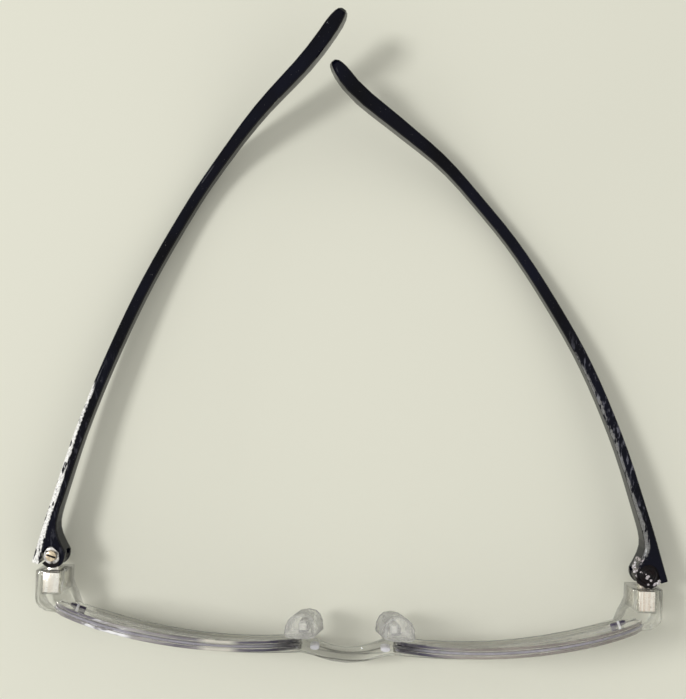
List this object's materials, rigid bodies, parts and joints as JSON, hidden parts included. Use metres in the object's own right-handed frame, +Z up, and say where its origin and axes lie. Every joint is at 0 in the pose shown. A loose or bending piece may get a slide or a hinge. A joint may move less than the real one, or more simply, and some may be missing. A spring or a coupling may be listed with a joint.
{
  "type": "broken eyeglasses",
  "caption": "Half-rim eyeglasses with a clear brow bar, corded lenses and dark temples, one with a broken hinge end, lying upside down.",
  "frame": {"origin": "centre of the footprint, on the surface that the brow bar lies on", "axes": "+X along the front towards the broken temple, +Y from the front towards the temple tips, +Z up, which is down as worn because the glasses lie upside down"},
  "size_m": [0.1408, 0.145, 0.0348],
  "materials": {
    "clear_front": "clear, smudged",
    "coated_lens": "clear, coated",
    "nylon": "translucent",
    "pad_silicone": "soft, hazy",
    "navy_plastic": "gloss, scuffed",
    "hinge_metal": "worn",
    "screw_metal": "worn"
  },
  "bodies": {
    "front": {"front_frame": "clear_front", "lens_left": "coated_lens", "lens_right": "coated_lens", "lens_cord_left": "nylon", "lens_cord_right": "nylon", "nose_pad_left": "pad_silicone", "nose_pad_right": "pad_silicone", "front_hinge_leaf_left": "hinge_metal", "front_hinge_leaf_right": "hinge_metal"},
    "left_temple": {"temple_left": "navy_plastic", "temple_hinge_leaf_left": "hinge_metal", "hinge_screw_left": "screw_metal"},
    "right_temple": {"temple_right": "navy_plastic", "temple_hinge_leaf_right": "hinge_metal", "hinge_screw_right": "screw_metal"}
  },
  "joints": [
    {"name": "left_hinge", "type": "hinge", "parent": "front", "child": "left_temple", "pos_m": [-0.06603, -0.04884, 0.0078], "axis": [0, 0, 1], "range_deg": [-1, 13.9]},
    {"name": "right_hinge", "type": "hinge", "parent": "front", "child": "right_temple", "pos_m": [0.06598, -0.04884, 0.0078], "axis": [0, 0, 1], "range_deg": [-15, 56]}
  ]
}
